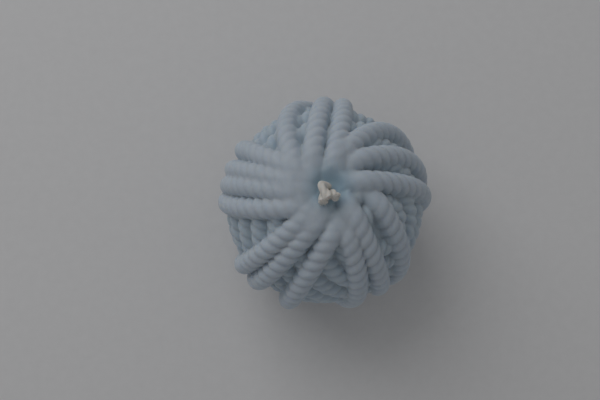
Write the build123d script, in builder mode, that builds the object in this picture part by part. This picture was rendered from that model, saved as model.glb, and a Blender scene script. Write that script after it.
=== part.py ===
from build123d import *
import math
import os

# Yarn-ball candle: one wax casting with the relief of a wound ball of thick yarn, three
# cotton wick strands that run through it, and the pressed steel tab that anchors them.
# Millimetres, +Z up along the wick, origin at the middle of the flat base.

# ---------------------------------------------------------------- driving dimensions
ball_radius = 35.0  # outside of the outer turns
strand_radius = 3.25  # one moulded turn of yarn
base_to_centre = 29.0  # the flat base cuts the ball this far below its centre

inner_layer_drop = 2.6  # how far the lower layer of turns lies below the outer one
inner_pitch = 6.5  # spacing of the lower turns, side by side
inner_turn_count = 8
inner_axis_lean = 40.0  # degrees that the lower layer's axis leans from the wick
inner_axis_heading = 120.0  # degrees clockwise from the back, seen from above
inner_core_rise = 0.8  # the grooves between the lower turns are filled this far

turn_start_runs = [6.0, 7.5]  # by turns, the outer turns start this far out from the wick axis
turn_end_angle = 160.0  # degrees along the turn, below the base, which cuts it off

wick_strand_radius = 1.15
wick_ring_radius = 1.36  # the three strands stand on this circle, just clear of each other
wick_bore_radius = 2.55
wick_seat = 0.2  # the cut ends of the wick, above the base

tab_radius = 8.0
tab_thickness = 0.4
neck_height = 5.0
neck_wall = 0.35
neck_bend_radius = 0.6

# Outer turns. Each lies in a plane: the heading in which it runs out from the wick
# (degrees clockwise from the back, seen from above), the lean of the plane (degrees, so
# that the turn passes beside the wick) and the plane's offset from the ball's centre
# towards the turn's right-hand side (mm).
outer_turns = [
    (-97, 16, 5.0),
    (-82, 7, 2.0),
    (-76, 7, 4.0),
    (-65, 6, 5.0),
    (-33, 29, 11.0),
    (4, 7, -1.5),
    (12, -2, -1.0),
    (26, 31, 14.0),
    (60, 24, 8.0),
    (85, 7, 1.2),
    (135, 17, 0.0),
    (151, 2, -2.3),
    (153, 11, 6.0),
    (-151, 5, -4.6),
    (-144, 11, 3.2),
    (-133, 9, 3.6),
]

# Wick strands. Each stands straight up in the wax, at its place on the wick's circle
# (degrees anticlockwise from +X), to its first bend, and ends in the last point, where it
# was cut. The third one arches over the other two, which splay under it.
wick_strands = [
    (330.0, 62.4, [Vector(2.4, -2.2, 64.0)]),
    (210.0, 62.0, [Vector(-1.5, -3.6, 63.2)]),
    (90.0, 61.8, [Vector(-2.5, 1.7, 64.6), Vector(0.1, -2.6, 65.4)]),
]
wick_bend_radius = 1.3

# ---------------------------------------------------------------- derived sizes
ball_centre = Vector(0, 0, base_to_centre)
outer_centre_radius = ball_radius - strand_radius
inner_centre_radius = outer_centre_radius - inner_layer_drop
neck_radius = wick_bore_radius + neck_wall


def compass(heading):
    """Horizontal unit vector of a heading, clockwise from the back (+Y)."""
    return Vector(math.sin(math.radians(heading)), math.cos(math.radians(heading)), 0)


def turn_frame(heading, lean, offset):
    """Centre, radius and the top, forward and side directions of one outer turn."""
    angle = math.radians(lean)
    forward = compass(heading)
    right = compass(heading + 90)
    up = Vector(0, 0, 1)
    side = right * math.cos(angle) + up * math.sin(angle)
    top = up * math.cos(angle) - right * math.sin(angle)
    centre = ball_centre + side * offset
    radius = math.sqrt(outer_centre_radius**2 - offset**2)
    return centre, radius, top, forward, side


os.makedirs("parts", exist_ok=True)

# ---------------------------------------------------------------- steel wick tab
# A disc with a drawn neck that is crimped round the wick.
with BuildPart() as wick_tab:
    with BuildSketch(Plane.XZ):
        with BuildLine():
            outer_edge = Polyline(
                (wick_bore_radius, 0),
                (tab_radius, 0),
                (tab_radius, tab_thickness),
                (neck_radius + neck_bend_radius, tab_thickness),
            )
            RadiusArc(outer_edge @ 1, (neck_radius, tab_thickness + neck_bend_radius), neck_bend_radius)
            Polyline(
                (neck_radius, tab_thickness + neck_bend_radius),
                (neck_radius, neck_height),
                (wick_bore_radius, neck_height),
                (wick_bore_radius, 0),
            )
        make_face()
    revolve(axis=Axis.Z)

# ---------------------------------------------------------------- wax body
# The lower layer of turns: rings side by side round a leaning axis, on a solid core.
inner_lean = math.radians(inner_axis_lean)
inner_axis = Vector(0, 0, math.cos(inner_lean)) + compass(inner_axis_heading) * math.sin(inner_lean)
inner_plane = Plane(origin=ball_centre, x_dir=compass(inner_axis_heading + 90), z_dir=inner_axis)

with BuildPart(inner_plane) as lower_turns:
    Sphere(inner_centre_radius + inner_core_rise)
    for number in range(inner_turn_count):
        height = (number - (inner_turn_count - 1) / 2) * inner_pitch
        with Locations((0, 0, height)):
            Torus(math.sqrt(inner_centre_radius**2 - height**2), strand_radius)

# The outer turns, from the well round the wick to the base.
turn_parts = []
for number, (heading, lean, offset) in enumerate(outer_turns):
    centre, radius, top, forward, side = turn_frame(heading, lean, offset)
    start = math.asin(turn_start_runs[number % 2] / radius)
    section_origin = centre + (top * math.cos(start) + forward * math.sin(start)) * radius
    tangent = forward * math.cos(start) - top * math.sin(start)
    with BuildPart() as turn:
        with BuildSketch(Plane(origin=section_origin, x_dir=side, z_dir=tangent)):
            Circle(strand_radius)
        revolve(axis=Axis(centre, side * -1), revolution_arc=turn_end_angle - math.degrees(start))
        split(bisect_by=Plane.XY, keep=Keep.TOP)
    turn_parts.append(turn.part)

with BuildPart() as wax_body:
    add(lower_turns.part)
    # the flat base, the wick's bore and the bed of the tab
    split(bisect_by=Plane.XY, keep=Keep.TOP)
    with BuildSketch(Plane.XY):
        Circle(wick_bore_radius)
    extrude(amount=ball_centre.Z + ball_radius, mode=Mode.SUBTRACT)
    add(wick_tab.part, mode=Mode.SUBTRACT)
    for turn_part in turn_parts:
        add(turn_part)

wax_body.part.label = "wax_body"
export_step(wax_body.part, "parts/wax_body.step")

wick_tab.part.label = "wick_tab"
export_step(wick_tab.part, "parts/wick_tab.step")

# ---------------------------------------------------------------- wick strands
for number, (place, bend_height, stub) in enumerate(wick_strands, start=1):
    foot_x = wick_ring_radius * math.cos(math.radians(place))
    foot_y = wick_ring_radius * math.sin(math.radians(place))
    with BuildPart() as wick_strand:
        with BuildLine():
            FilletPolyline(
                (foot_x, foot_y, wick_seat),
                (foot_x, foot_y, bend_height),
                *stub,
                radius=wick_bend_radius,
            )
        with BuildSketch(Plane.XY.offset(wick_seat)):
            with Locations((foot_x, foot_y)):
                Circle(wick_strand_radius)
        sweep()
    wick_strand.part.label = f"wick_strand_{number}"
    export_step(wick_strand.part, f"parts/wick_strand_{number}.step")
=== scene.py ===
# %% [markdown]
# # A yarn-ball candle
# The candle is one casting in pale blue wax. Its mould was taken from a ball of thick
# three-ply yarn, so every turn of yarn is relief in the wax, and nothing is really wound.
# A cotton wick of three strands comes up through it and splays at its cut end, and a
# pressed steel tab anchors the wick in the base.

# %% Load the frame
import math

import bpy
import numpy as np
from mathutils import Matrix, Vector


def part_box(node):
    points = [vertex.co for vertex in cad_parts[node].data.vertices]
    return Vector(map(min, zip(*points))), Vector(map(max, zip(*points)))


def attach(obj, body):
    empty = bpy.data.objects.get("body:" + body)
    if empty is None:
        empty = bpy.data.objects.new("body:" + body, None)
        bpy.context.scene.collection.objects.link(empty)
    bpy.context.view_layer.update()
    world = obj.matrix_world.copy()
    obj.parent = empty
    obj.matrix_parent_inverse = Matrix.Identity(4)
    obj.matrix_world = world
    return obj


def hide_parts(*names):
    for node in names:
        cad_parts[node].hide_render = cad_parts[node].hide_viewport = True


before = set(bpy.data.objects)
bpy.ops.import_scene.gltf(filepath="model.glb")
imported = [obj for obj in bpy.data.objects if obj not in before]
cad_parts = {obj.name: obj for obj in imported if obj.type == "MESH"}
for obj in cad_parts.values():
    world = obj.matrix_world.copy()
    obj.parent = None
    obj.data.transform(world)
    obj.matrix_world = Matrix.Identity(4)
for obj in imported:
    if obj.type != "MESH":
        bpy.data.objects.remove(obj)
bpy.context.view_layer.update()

# %% [markdown]
# ## Small helpers
# A mesh comes from whole arrays: the corners as an N x 3 array, and each face as a list of
# its corners' numbers. Working them out in one go keeps a hundred thousand corners quick.

# %% Mesh from arrays
MM = 0.001


def mesh_piece(name, corners, faces, material):
    """A new smooth object at the origin, from corners in metres and faces."""
    mesh = bpy.data.meshes.new(name)
    mesh.from_pydata(corners.tolist(), [], faces)
    mesh.validate()
    mesh.polygons.foreach_set("use_smooth", np.full(len(mesh.polygons), True))
    mesh.materials.append(material)
    mesh.update()
    piece = bpy.data.objects.new(name, mesh)
    bpy.context.scene.collection.objects.link(piece)
    print(name, len(mesh.vertices), "corners", len(mesh.polygons), "faces")
    return piece


def store(piece, name, values):
    """A named value at each corner, which a material reads back as an attribute."""
    layer = piece.data.attributes.new(name, "FLOAT", "POINT")
    layer.data.foreach_set("value", np.asarray(values, np.float32).ravel())


# %% [markdown]
# ## Shader maths as expressions
# A material here is a sum of masks, and masks read best as arithmetic. The class wraps
# one output socket, and each operator on it adds the Math node that does the sum.

# %% A socket that adds up
class Sum:
    """One value in a node tree. +, - and * with a number or another value add a Math node."""

    def __init__(self, tree, socket):
        self.tree = tree
        self.socket = socket

    def math(self, operation, *others):
        return self.tree.node("ShaderNodeMath", {"operation": operation}, [self, *others])

    def __add__(self, other):
        return self.math("ADD", other)

    def __mul__(self, other):
        return self.math("MULTIPLY", other)

    def __sub__(self, other):
        return self.math("SUBTRACT", other)

    __radd__ = __add__

    def clamp(self):
        return self.tree.node("ShaderNodeClamp", {}, [self])


class Tree:
    """A material's nodes. node() adds any node: its type, settings, then socket values or links."""

    def __init__(self, name):
        self.material = bpy.data.materials.new(name)
        self.material.use_nodes = True
        self.nodes = self.material.node_tree.nodes
        self.links = self.material.node_tree.links
        self.shader = self.nodes["Principled BSDF"]

    def put(self, socket, value):
        if isinstance(value, Sum):
            self.links.new(value.socket, socket)
        else:
            socket.default_value = value

    def node(self, kind, settings, inputs, output=0):
        made = self.nodes.new(kind)
        for key, value in settings.items():
            setattr(made, key, value)
        pairs = inputs.items() if isinstance(inputs, dict) else enumerate(inputs)
        for key, value in pairs:
            self.put(made.inputs[key], value)
        return Sum(self, made.outputs[output])

    def place(self):
        return self.node("ShaderNodeTexCoord", {}, {}, "Object")

    def attribute(self, name):
        return self.node("ShaderNodeAttribute", {"attribute_name": name}, {}, "Fac")

    def noise(self, scale, detail=2.0, roughness=0.5, where=None):
        inputs = {"Vector": where or self.place(), "Scale": scale, "Detail": detail, "Roughness": roughness}
        return self.node("ShaderNodeTexNoise", {}, inputs)

    def mix(self, amount, low, high):
        """Blend of two colours by a mask."""
        made = self.nodes.new("ShaderNodeMix")
        made.data_type = "RGBA"
        colour_sockets = [s for s in made.inputs if s.type == "RGBA"]
        self.put(made.inputs[0], amount)
        self.put(colour_sockets[0], low)
        self.put(colour_sockets[1], high)
        return Sum(self, [s for s in made.outputs if s.type == "RGBA"][0])

    def bump(self, height, strength, distance):
        inputs = {"Height": height, "Strength": strength, "Distance": distance}
        return self.node("ShaderNodeBump", {}, inputs)

    def finish(self, **sockets):
        for name, value in sockets.items():
            self.put(self.shader.inputs[name.replace("_", " ")], value)
        return self.material


# %% [markdown]
# ## The wax
# Paraffin wax is milky: light enters, scatters a few millimetres and comes out again,
# so thin edges look pale. The scattering is the shader's own subsurface, with a radius
# longer for blue than for red. Over that the colour varies a little, in clouds where the
# wax cooled unevenly and in a fine frosting of crystals. The grooves and the well, which
# stored values mark, are painted darker in colour: this is painted shade.

# %% Wax material
def wax_material():
    tree = Tree("blue_wax")
    groove_shade = tree.attribute("groove_shade")
    well_shade = tree.attribute("well_shade")
    clouds = tree.noise(55.0, 3.0, 0.55)
    frost = tree.noise(900.0, 4.0, 0.7)
    grain = tree.noise(2600.0, 2.0, 0.6)
    ridge_blue = tree.mix((clouds - 0.35) * 1.6, (0.48, 0.545, 0.615, 1), (0.53, 0.585, 0.645, 1))
    frosted = tree.mix(((frost - 0.5) * 2.4).clamp() * 0.5, ridge_blue, (0.59, 0.635, 0.68, 1))
    # painted shade: the colour is darkened where the grooves between the turns lie
    groove_shaded = tree.mix(groove_shade * 0.5, frosted, (0.4, 0.5, 0.57, 1))
    # painted shade: the dished well round the wick is coloured a deep teal
    colour = tree.mix(well_shade * 0.6, groove_shaded, (0.27, 0.44, 0.56, 1))
    dull = 0.42 + frost * 0.16 + groove_shade * 0.08
    skin = tree.bump(clouds * 0.35 + frost * 0.4 + grain * 0.25, 0.35, 0.00025)
    return tree.finish(
        Base_Color=colour,
        Roughness=dull,
        Normal=skin,
        Subsurface_Weight=0.75,
        Subsurface_Radius=(0.8, 1.0, 1.25),
        Subsurface_Scale=0.0022,
        IOR=1.43,
        Specular_IOR_Level=0.42,
    )


blue_wax = wax_material()

# %% [markdown]
# ## How the turns lie
# The upper turns are drawn from the same layout as the CAD model. A turn is a ring on the
# ball, and a ring lies in a plane, so three numbers place it: the heading in which it runs
# out from the wick (degrees clockwise from the back), the lean of its plane (degrees) and the
# plane's offset. Each turn dives under its neighbour as it nears the wick, and the fourth
# number is how far out it has come up again. The fifth is how far it stands above the others
# once it is well down the side, as the last turns that were wound do.

# %% Layout of the turns, in millimetres and degrees
BALL_RADIUS = 35.0
STRAND_RADIUS = 3.25
BASE_TO_CENTRE = 29.0
OUTER_CENTRE = BALL_RADIUS - STRAND_RADIUS
# the lower layer: rings side by side round an axis that leans from the wick
INNER_CENTRE = OUTER_CENTRE - 2.6
INNER_PITCH = 6.5
INNER_COUNT = 13
INNER_LEAN = 40.0
INNER_HEADING = 120.0
CORE_RADIUS = INNER_CENTRE + 0.8

OUTER_TURNS = [
    (-97, 16, 5.0, 8.0, 0.0),
    (-82, 7, 2.0, 8.0, 0.0),
    (-76, 7, 4.0, 9.0, 0.0),
    (-65, 6, 5.0, 10.0, 0.0),
    (-33, 29, 11.0, 11.0, 0.3),
    (4, 7, -1.5, 8.0, 0.5),
    (12, -2, -1.0, 8.0, 0.5),
    (26, 31, 14.0, 12.0, 0.0),
    (60, 24, 8.0, 11.0, 0.0),
    (85, 7, 1.2, 9.0, 0.0),
    (135, 17, 0.0, 11.0, 0.0),
    (151, 2, -2.3, 8.0, 0.0),
    (153, 11, 6.0, 12.0, 0.0),
    (-151, 5, -4.6, 8.0, 1.3),
    (-144, 11, 3.2, 8.0, 1.2),
    (-133, 9, 3.6, 8.0, 1.0),
]


def compass(heading):
    """Horizontal unit vector of a heading in degrees, clockwise from the back (+Y)."""
    angle = math.radians(heading)
    return np.array([math.sin(angle), math.cos(angle), 0.0])


UP = np.array([0.0, 0.0, 1.0])

# %% [markdown]
# ## The wax as one height map on a ball
# The casting is one skin, so it is one closed surface: for every direction from the
# ball's centre, the height is the highest of the turns that pass there. A turn's
# height is the far side of a circle of the strand's radius round the ring, and its
# three plies swell that radius in a wave that climbs to the right, as yarn with a Z twist
# does. A soft maximum joins the turns with small fillets, as wax does, wider near the wick.
# A boolean of tubes would give hard creases and no way to let the turns melt together.
# On one side of the ball the mould is worn: the plies are fainter and the fillets wider.

# %% Heights of the turns
PLY_COUNT = 3
LAY_LENGTH = 10.4  # along the strand, one whole twist
PLY_DEPTH = 0.66
SINK_DEPTH = 3.2  # how deep a turn dives near the wick
FAR_BELOW = 20.0  # a height below everything, where a turn isn't there
SOFT_SIDE = np.array([-0.75, 0.66, 0.0])  # the worn side of the mould
SOFT_LOSS = 0.45  # share of the plies' relief that is lost there
LEAST_MELT = 0.6
WICK_MELT = 1.6
SOFT_MELT = 0.7
WELL_PLACE = (0.7, 1.1)  # middle of the dished well, which the wick leans away from
WELL_FLOOR = 30.2  # heights from the ball's centre
WELL_RISE = 5.1
SIDE_RISE = 2.5  # the well's bowl ends above even the proudest turns


def smooth_step(low, high, value):
    """0 below low, 1 above high, and an S curve between."""
    part = np.clip((value - low) / (high - low), 0.0, 1.0)
    return part * part * (3.0 - 2.0 * part)


def soft_max(first, second, width):
    """The larger of two heights, with a fillet of about the width where they cross."""
    overlap = np.clip(0.5 + 0.5 * (first - second) / width, 0.0, 1.0)
    return second + (first - second) * overlap + width * overlap * (1.0 - overlap)


def soft_min(first, second, width):
    """The smaller of two heights, with the same fillet."""
    return -soft_max(-first, -second, width)


def worn(unit):
    """1 on the worn side of the mould, 0 elsewhere."""
    return smooth_step(-0.1, 0.7, unit @ SOFT_SIDE)


def strand_height(across, along, ring_radius, centre_radius, relief):
    """
    Height of a plied strand whose ring is at centre_radius. across is the angle off the
    ring and along the angle round it. The wave's phase is three times the difference of the
    way round the lay and the way round the strand; its rounded crests are the plies.
    """
    sideways = centre_radius * np.sin(across)
    turn = np.arcsin(np.clip(sideways / STRAND_RADIUS, -1.0, 1.0))
    phase = PLY_COUNT * (2.0 * np.pi * along * ring_radius / LAY_LENGTH - turn)
    crest = np.abs(np.cos(phase / 2.0))
    radius = STRAND_RADIUS - PLY_DEPTH * relief * (1.0 - crest)
    inside = radius**2 - sideways**2
    height = centre_radius * np.cos(across) + np.sqrt(np.maximum(inside, 0.0))
    fall = np.maximum(np.abs(sideways) - radius, 0.0)
    return np.where(inside > 0.0, height, centre_radius * np.cos(across) - 3.0 * fall)


def outer_turn(unit, heading, lean, offset, rise_at, proud):
    """Height of one upper turn for each direction, low where the turn isn't there."""
    tilt = math.radians(lean)
    forward = compass(heading)
    right = compass(heading + 90)
    side = right * math.cos(tilt) + UP * math.sin(tilt)
    top = UP * math.cos(tilt) - right * math.sin(tilt)
    ring_radius = math.sqrt(OUTER_CENTRE**2 - offset**2)
    along = np.arctan2(unit @ forward, unit @ top)
    across = np.arcsin(np.clip(unit @ side, -1, 1)) - math.asin(offset / OUTER_CENTRE)
    run = along * ring_radius
    sink = 1.0 - smooth_step(rise_at - 7.0, rise_at + 4.0, run)
    centre_radius = OUTER_CENTRE + proud * smooth_step(20.0, 45.0, run) - SINK_DEPTH * sink
    relief = 0.15 + 0.85 * smooth_step(rise_at - 2.0, rise_at + 12.0, run)
    relief = relief * (1.0 - SOFT_LOSS * worn(unit))
    height = strand_height(across, along, ring_radius, centre_radius, relief)
    there = smooth_step(rise_at - 9.0, rise_at - 5.0, run)
    return np.where(along > -0.2, height * there + FAR_BELOW * (1.0 - there), FAR_BELOW)


def inner_layer(unit):
    """Height of the lower layer: rings side by side round a leaning axis."""
    lean = math.radians(INNER_LEAN)
    axis = UP * math.cos(lean) + compass(INNER_HEADING) * math.sin(lean)
    first = compass(INNER_HEADING + 90)
    second = np.cross(axis, first)
    along = np.arctan2(unit @ second, unit @ first)
    latitude = np.arcsin(np.clip(unit @ axis, -1, 1))
    height = np.full(len(unit), CORE_RADIUS)
    for number in range(INNER_COUNT):
        level = (number - (INNER_COUNT - 1) / 2) * INNER_PITCH / INNER_CENTRE
        ring_radius = INNER_CENTRE * math.cos(level)
        ring = strand_height(latitude - level, along, ring_radius, INNER_CENTRE, 1.0)
        height = soft_max(height, ring, 0.5)
    return height


def ball_height(unit):
    """Height of the whole relief, and two masks from 0 to 1 that carry painted shade: how deep each place
    lies between the turns, and how far it is into the dish round the wick.
    """
    from_wick = np.degrees(np.arccos(np.clip(unit[:, 2], -1, 1)))
    near_wick = 1.0 - smooth_step(10.0, 34.0, from_wick)
    melt = LEAST_MELT + WICK_MELT * near_wick + SOFT_MELT * worn(unit)
    height = inner_layer(unit)
    for turn in OUTER_TURNS:
        height = soft_max(height, outer_turn(unit, *turn), melt)
    out = np.hypot(height * unit[:, 0] - WELL_PLACE[0], height * unit[:, 1] - WELL_PLACE[1])
    bowl = WELL_RISE * smooth_step(1.2, 8.8, out) + SIDE_RISE * smooth_step(12.0, 24.0, out)
    height = soft_min(height, WELL_FLOOR + bowl, 1.0)
    # a mask for painted shade in the grooves between the turns
    groove_shade = 1.0 - smooth_step(31.2, 34.3, height)
    # a mask for painted shade in the well round the wick
    well_shade_mask = (1.0 - smooth_step(2.0, 9.5, out)) * (unit[:, 2] > 0)
    return height, groove_shade, well_shade_mask


# %% [markdown]
# ## From heights to a mesh
# A grid of latitudes and longitudes would crowd its corners at the wick and waste half of
# them. A cube blown up into a ball, with its rows at equal angles, spreads them evenly and
# has no poles. Its six grids share their edge corners, so the skin is closed.

# %% Cube ball
GRID = 128


def cube_ball(steps):
    """Unit directions and four-cornered faces of a cube's six grids, blown up to a ball."""
    angles = np.linspace(-np.pi / 4, np.pi / 4, steps + 1)
    u, v = np.meshgrid(np.tan(angles), np.tan(angles), indexing="ij")
    one = np.ones_like(u)
    sides = [(u, v, one), (v, u, -one), (one, u, v), (-one, v, u), (v, one, u), (u, -one, v)]
    corners = np.concatenate([np.stack(side, -1).reshape(-1, 3) for side in sides])
    corners /= np.linalg.norm(corners, axis=1)[:, None]
    row = np.arange(steps)[:, None] * (steps + 1) + np.arange(steps)[None, :]
    first = row.reshape(-1)
    quads = np.stack([first, first + steps + 1, first + steps + 2, first + 1], -1)
    faces = np.concatenate([quads + number * (steps + 1) ** 2 for number in range(6)])
    rounded = np.round(corners * 1e6).astype(np.int64)
    _, keep, merged = np.unique(rounded, axis=0, return_index=True, return_inverse=True)
    return corners[keep], merged.reshape(-1)[faces]


def flat_base(unit, height):
    """Cuts the ball off at the base, with a bed for the tab at the middle."""
    down = np.maximum(-unit[:, 2], 1e-3)
    to_base = BASE_TO_CENTRE / down
    at_base = to_base * np.sqrt(np.maximum(1.0 - unit[:, 2] ** 2, 0.0))
    tab_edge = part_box("wick_tab")[1].x / MM
    bed = 0.45 * (1.0 - smooth_step(tab_edge + 0.02, tab_edge + 0.1, at_base))
    to_base = (BASE_TO_CENTRE - bed) / down
    return np.where(unit[:, 2] < -0.3, soft_min(height, to_base, 0.35), height)


unit, faces = cube_ball(GRID)
height, groove_shade, well_shade_mask = ball_height(unit)
height = flat_base(unit, height)
corners = unit * height[:, None]
corners[:, 2] += BASE_TO_CENTRE
wax = mesh_piece("wax_ball", corners * MM, faces.tolist(), blue_wax)
# both stored masks darken the wax's colour as painted shade
store(wax, "groove_shade", groove_shade)
store(wax, "well_shade", well_shade_mask)
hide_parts("wax_body")
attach(wax, "root")
print("wax height", height.min().round(2), height.max().round(2))

# %% [markdown]
# ## Cotton of the wick
# A candle wick is bleached cotton, soaked in wax, so it is a cream that has lost its fuzz
# and gained a faint gloss. The fibres run along the strand, so the pattern is stretched
# along it.

# %% Cotton material
def cotton_material():
    tree = Tree("waxed_cotton")
    fibre = tree.attribute("fibre")
    stain = tree.noise(420.0, 3.0, 0.6)
    fine = tree.noise(3800.0, 3.0, 0.7)
    light = tree.mix((fibre * 0.6 + fine * 0.5).clamp(), (0.62, 0.59, 0.54, 1), (0.8, 0.78, 0.75, 1))
    colour = tree.mix(((stain - 0.5) * 2.0).clamp() * 0.5, light, (0.78, 0.7, 0.61, 1))
    skin = tree.bump(fibre * 0.6 + fine * 0.5, 0.6, 0.0002)
    return tree.finish(
        Base_Color=colour,
        Roughness=0.55 + fine * 0.2,
        Normal=skin,
        Subsurface_Weight=0.3,
        Subsurface_Radius=(1.0, 0.8, 0.6),
        Subsurface_Scale=0.0008,
    )


waxed_cotton = cotton_material()

# %% [markdown]
# ## The wick's strands
# The stub is three plied strands that splay where they were cut. A strand is a profile
# carried along a path: the path is the CAD strand's corners with their bends rounded, and
# the profile is three plies side by side, turning as it goes. The plies part a little
# towards the cut, which ends in a low rough dome. Fibres that the scissors loosened stand
# out of it as a tuft of tapered threads, all worked out as one array.

# %% Paths of the strands, in millimetres
WICK_RADIUS = 1.15
WICK_RING = 1.36
WICK_SEAT = 0.2
WICK_BEND = 1.3
WICK_LAY = 9.0
WICK_STEP = 0.16  # between rows of corners
WICK_SIDES = 48
WICK_SWELL = 0.38  # share by which the cut end is thicker
TUFT_COUNT = 46  # loose threads at a cut end
TUFT_ROWS = 6
TUFT_SIDES = 5
TUFT_FIBRE = 0.75
WICK_STRANDS = [
    (330.0, 62.4, [(2.4, -2.2, 64.0)]),
    (210.0, 62.0, [(-1.5, -3.6, 63.2)]),
    (90.0, 61.8, [(-2.5, 1.7, 64.6), (0.1, -2.6, 65.4)]),
]


def rounded_path(points, bend, step):
    """
    Even steps along straight runs whose corners are rounded. Each corner is a quadratic
    curve between two points on its runs, as far from the corner as a circle of the bend's
    radius would touch them.
    """
    pieces = [points[:1]]
    for before, corner, after in zip(points[:-2], points[1:-1], points[2:]):
        back = (before - corner) / np.linalg.norm(before - corner)
        ahead = (after - corner) / np.linalg.norm(after - corner)
        turn = np.pi - np.arccos(np.clip(back @ ahead, -1, 1))
        reach = bend * np.tan(turn / 2)
        part = np.linspace(0, 1, 16)[:, None]
        start, end = corner + back * reach, corner + ahead * reach
        pieces.append((1 - part) ** 2 * start + 2 * part * (1 - part) * corner + part**2 * end)
    pieces.append(points[-1:])
    line = np.concatenate(pieces)
    length = np.concatenate([[0], np.cumsum(np.linalg.norm(np.diff(line, axis=0), axis=1))])
    even = np.linspace(0, length[-1], int(length[-1] / step) + 1)
    return np.stack([np.interp(even, length, line[:, axis]) for axis in range(3)], 1), even


def tube_faces(rows, sides):
    """Faces of a tube of rows of corners, closed by one more corner at each end."""
    row = np.arange(rows - 1)[:, None] * sides
    side = np.arange(sides)[None, :]
    ahead = (side + 1) % sides
    walls = np.stack([row + side, row + ahead, row + sides + ahead, row + sides + side], -1).reshape(-1, 4)
    faces = [tuple(face) for face in walls.tolist()]
    first, last = rows * sides, rows * sides + 1
    end = (rows - 1) * sides
    faces += [(first, (k + 1) % sides, k) for k in range(sides)]
    faces += [(last, end + k, end + (k + 1) % sides) for k in range(sides)]
    return faces


def strand_axes(line):
    """At each step of the path, its tangent and two directions across it."""
    tangent = np.gradient(line, axis=0)
    tangent /= np.linalg.norm(tangent, axis=1)[:, None]
    lean = line[-1] - line[0]
    side = np.cross(np.array([lean[0], lean[1], 0.0]), UP)
    side = side / np.linalg.norm(side)
    side = side - (tangent @ side)[:, None] * tangent
    side /= np.linalg.norm(side, axis=1)[:, None]
    return tangent, side, np.cross(tangent, side)


def plied_strand(points, rng):
    """
    Corners and faces of one strand and its tuft, and each corner's fibre value. The radius
    is a three-lobed wave round the strand that turns once in each lay, with fine threads
    over it, and it swells towards the cut end.
    """
    line, along = rounded_path(points, WICK_BEND, WICK_STEP)
    tangent, side, third = strand_axes(line)
    round_it = np.linspace(0, 2 * np.pi, WICK_SIDES, endpoint=False)[None, :]
    to_end = (along[-1] - along)[:, None]
    turned = round_it - 2 * np.pi * along[:, None] / WICK_LAY
    plies = np.abs(np.cos(PLY_COUNT / 2 * turned))
    parted = 0.16 + 0.12 * np.exp(-to_end / 1.2)
    threads = 0.5 + 0.5 * np.cos(17 * turned + 2.6 * np.sin(along[:, None] * 1.7))
    wander = 0.012 * rng.normal(size=(len(along), WICK_SIDES))
    swell = 1.0 + WICK_SWELL * np.exp(-((to_end / 2.2) ** 2))
    radius = WICK_RADIUS * swell * (1 - parted * (1 - plies)) * (1 - 0.035 * threads) + wander
    radius *= np.where(to_end < 1e-6, 0.9, 1.0)
    ring = side[:, None] * np.cos(round_it)[..., None] + third[:, None] * np.sin(round_it)[..., None]
    wall = line[:, None] + ring * radius[..., None]
    corners = np.concatenate([wall.reshape(-1, 3), line[:1], line[-1:] + tangent[-1:] * 0.25])
    faces = tube_faces(len(along), WICK_SIDES)
    fibre = np.concatenate([threads.ravel() * 0.5 + plies.ravel() * 0.5, [0.5, 0.6]])

    tuft_corners, tuft_faces = tuft(line[-1], tangent[-1], side[-1], third[-1], rng)
    faces += [tuple(len(corners) + k for k in face) for face in tuft_faces]
    corners = np.concatenate([corners, tuft_corners])
    return corners, faces, np.concatenate([fibre, np.full(len(tuft_corners), TUFT_FIBRE)])


def tuft(end, tangent, side, third, rng):
    """Corners and faces of the loose threads that stand out of a strand's cut end."""
    each = (TUFT_COUNT, 1, 1)
    reach = np.linspace(0, 1, TUFT_ROWS)[None, :, None]
    spread = WICK_RADIUS * 1.15 * np.sqrt(rng.uniform(size=each))
    bearing = rng.uniform(0, 2 * np.pi, size=each)
    out = side * np.cos(bearing) + third * np.sin(bearing)
    length = rng.uniform(0.35, 0.85, size=each)
    curl = rng.uniform(-0.5, 0.9, size=each)
    ahead = tangent * (reach * 1.15 - 0.15) * length
    thread = end + out * spread + ahead + out * curl * length * reach**2 * 0.6
    thick = rng.uniform(0.045, 0.085, size=each) * (1 - 0.6 * reach)
    angle = np.linspace(0, 2 * np.pi, TUFT_SIDES, endpoint=False)[None, None, :, None]
    loops = thread[:, :, None] + thick[..., None] * (side * np.cos(angle) + third * np.sin(angle))
    ends = np.stack([thread[:, 0], thread[:, -1]], 1)
    corners = np.concatenate([loops.reshape(TUFT_COUNT, -1, 3), ends], 1)
    faces = []
    for number in range(TUFT_COUNT):
        base = number * corners.shape[1]
        faces += [tuple(base + k for k in face) for face in tube_faces(TUFT_ROWS, TUFT_SIDES)]
    return corners.reshape(-1, 3), faces


# %% Strands of the wick
rng = np.random.default_rng(7)
for number, (place, bend_height, stub) in enumerate(WICK_STRANDS, start=1):
    foot = WICK_RING * np.array([math.cos(math.radians(place)), math.sin(math.radians(place))])
    points = np.array([(*foot, WICK_SEAT), (*foot, bend_height), *stub])
    corners, faces, fibre = plied_strand(points, rng)
    strand = mesh_piece(f"wick_cotton_{number}", corners * MM, faces, waxed_cotton)
    store(strand, "fibre", fibre)
    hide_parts(f"wick_strand_{number}")
    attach(strand, "root")

# %% [markdown]
# ## Tinplate of the tab
# The tab is stamped from thin tinned steel: a bright grey with the sheet's rolling marks
# and a few dull spots.

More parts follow.
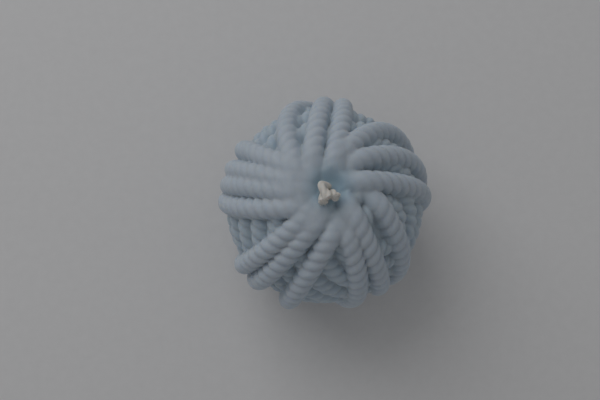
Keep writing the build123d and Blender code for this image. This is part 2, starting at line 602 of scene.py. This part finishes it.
# %% Tinplate material
def tinplate_material():
    tree = Tree("tinplate")
    rolled = tree.node("ShaderNodeMapping", {}, {"Vector": tree.place(), "Scale": (1.0, 14.0, 1.0)})
    marks = tree.noise(900.0, 3.0, 0.6, rolled)
    spots = tree.noise(260.0, 2.0, 0.5)
    colour = tree.mix(marks, (0.5, 0.5, 0.5, 1), (0.68, 0.68, 0.67, 1))
    return tree.finish(
        Base_Color=colour,
        Metallic=1.0,
        Roughness=0.28 + marks * 0.14 + spots * 0.1,
        Normal=tree.bump(marks, 0.2, 0.00005),
    )


tinplate = tinplate_material()
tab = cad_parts["wick_tab"]
tab.data.materials.clear()
tab.data.materials.append(tinplate)

# %% [markdown]
# ## Floor, light and camera
# A pale sheet of card under soft light from the upper left, and a camera that looks almost
# straight down from the front.

# %% Stage
def card_material():
    tree = Tree("pale_card")
    speck = tree.noise(300.0, 3.0, 0.6)
    colour = tree.mix(speck, (0.69, 0.69, 0.7, 1), (0.745, 0.745, 0.755, 1))
    return tree.finish(Base_Color=colour, Roughness=0.9)


floor_mesh = bpy.data.meshes.new("floor")
floor_mesh.from_pydata([(-3, -3, 0), (3, -3, 0), (3, 3, 0), (-3, 3, 0)], [], [(0, 1, 2, 3)])
floor_mesh.materials.append(card_material())
floor = bpy.data.objects.new("floor", floor_mesh)
bpy.context.scene.collection.objects.link(floor)


def soft_light(name, place, target, size, power):
    """A square area light that faces a point."""
    light = bpy.data.lights.new(name, "AREA")
    light.size = size
    light.energy = power
    lamp = bpy.data.objects.new(name, light)
    lamp.location = place
    direction = np.array(target) - np.array(place)
    lamp.rotation_euler = Vector(direction).to_track_quat("-Z", "Y").to_euler()
    bpy.context.scene.collection.objects.link(lamp)


centre = (0.0, 0.0, 0.03)
soft_light("window", (-0.42, 0.56, 0.68), centre, 0.8, 2.75)
world = bpy.data.worlds.new("room")
world.use_nodes = True
world.node_tree.nodes["Background"].inputs[0].default_value = (1.0, 1.0, 1.0, 1)
world.node_tree.nodes["Background"].inputs[1].default_value = 0.235
bpy.context.scene.world = world
bpy.context.scene.view_settings.view_transform = "Standard"

# %% Camera
LENS = 50.0
SENSOR = 36.0
DISTANCE = 0.275
ELEVATION = math.radians(82.5)
aim = Vector((-0.0081, 0.0016, BASE_TO_CENTRE * MM))
camera_data = bpy.data.cameras.new("camera")
camera_data.lens = LENS
camera_data.sensor_width = SENSOR
camera_data.clip_start = 0.01
camera = bpy.data.objects.new("camera", camera_data)
away = Vector((0.0, -math.cos(ELEVATION), math.sin(ELEVATION)))
camera.location = aim + away * DISTANCE
camera.rotation_euler = (-away).to_track_quat("-Z", "Y").to_euler()
bpy.context.scene.collection.objects.link(camera)
bpy.context.scene.camera = camera
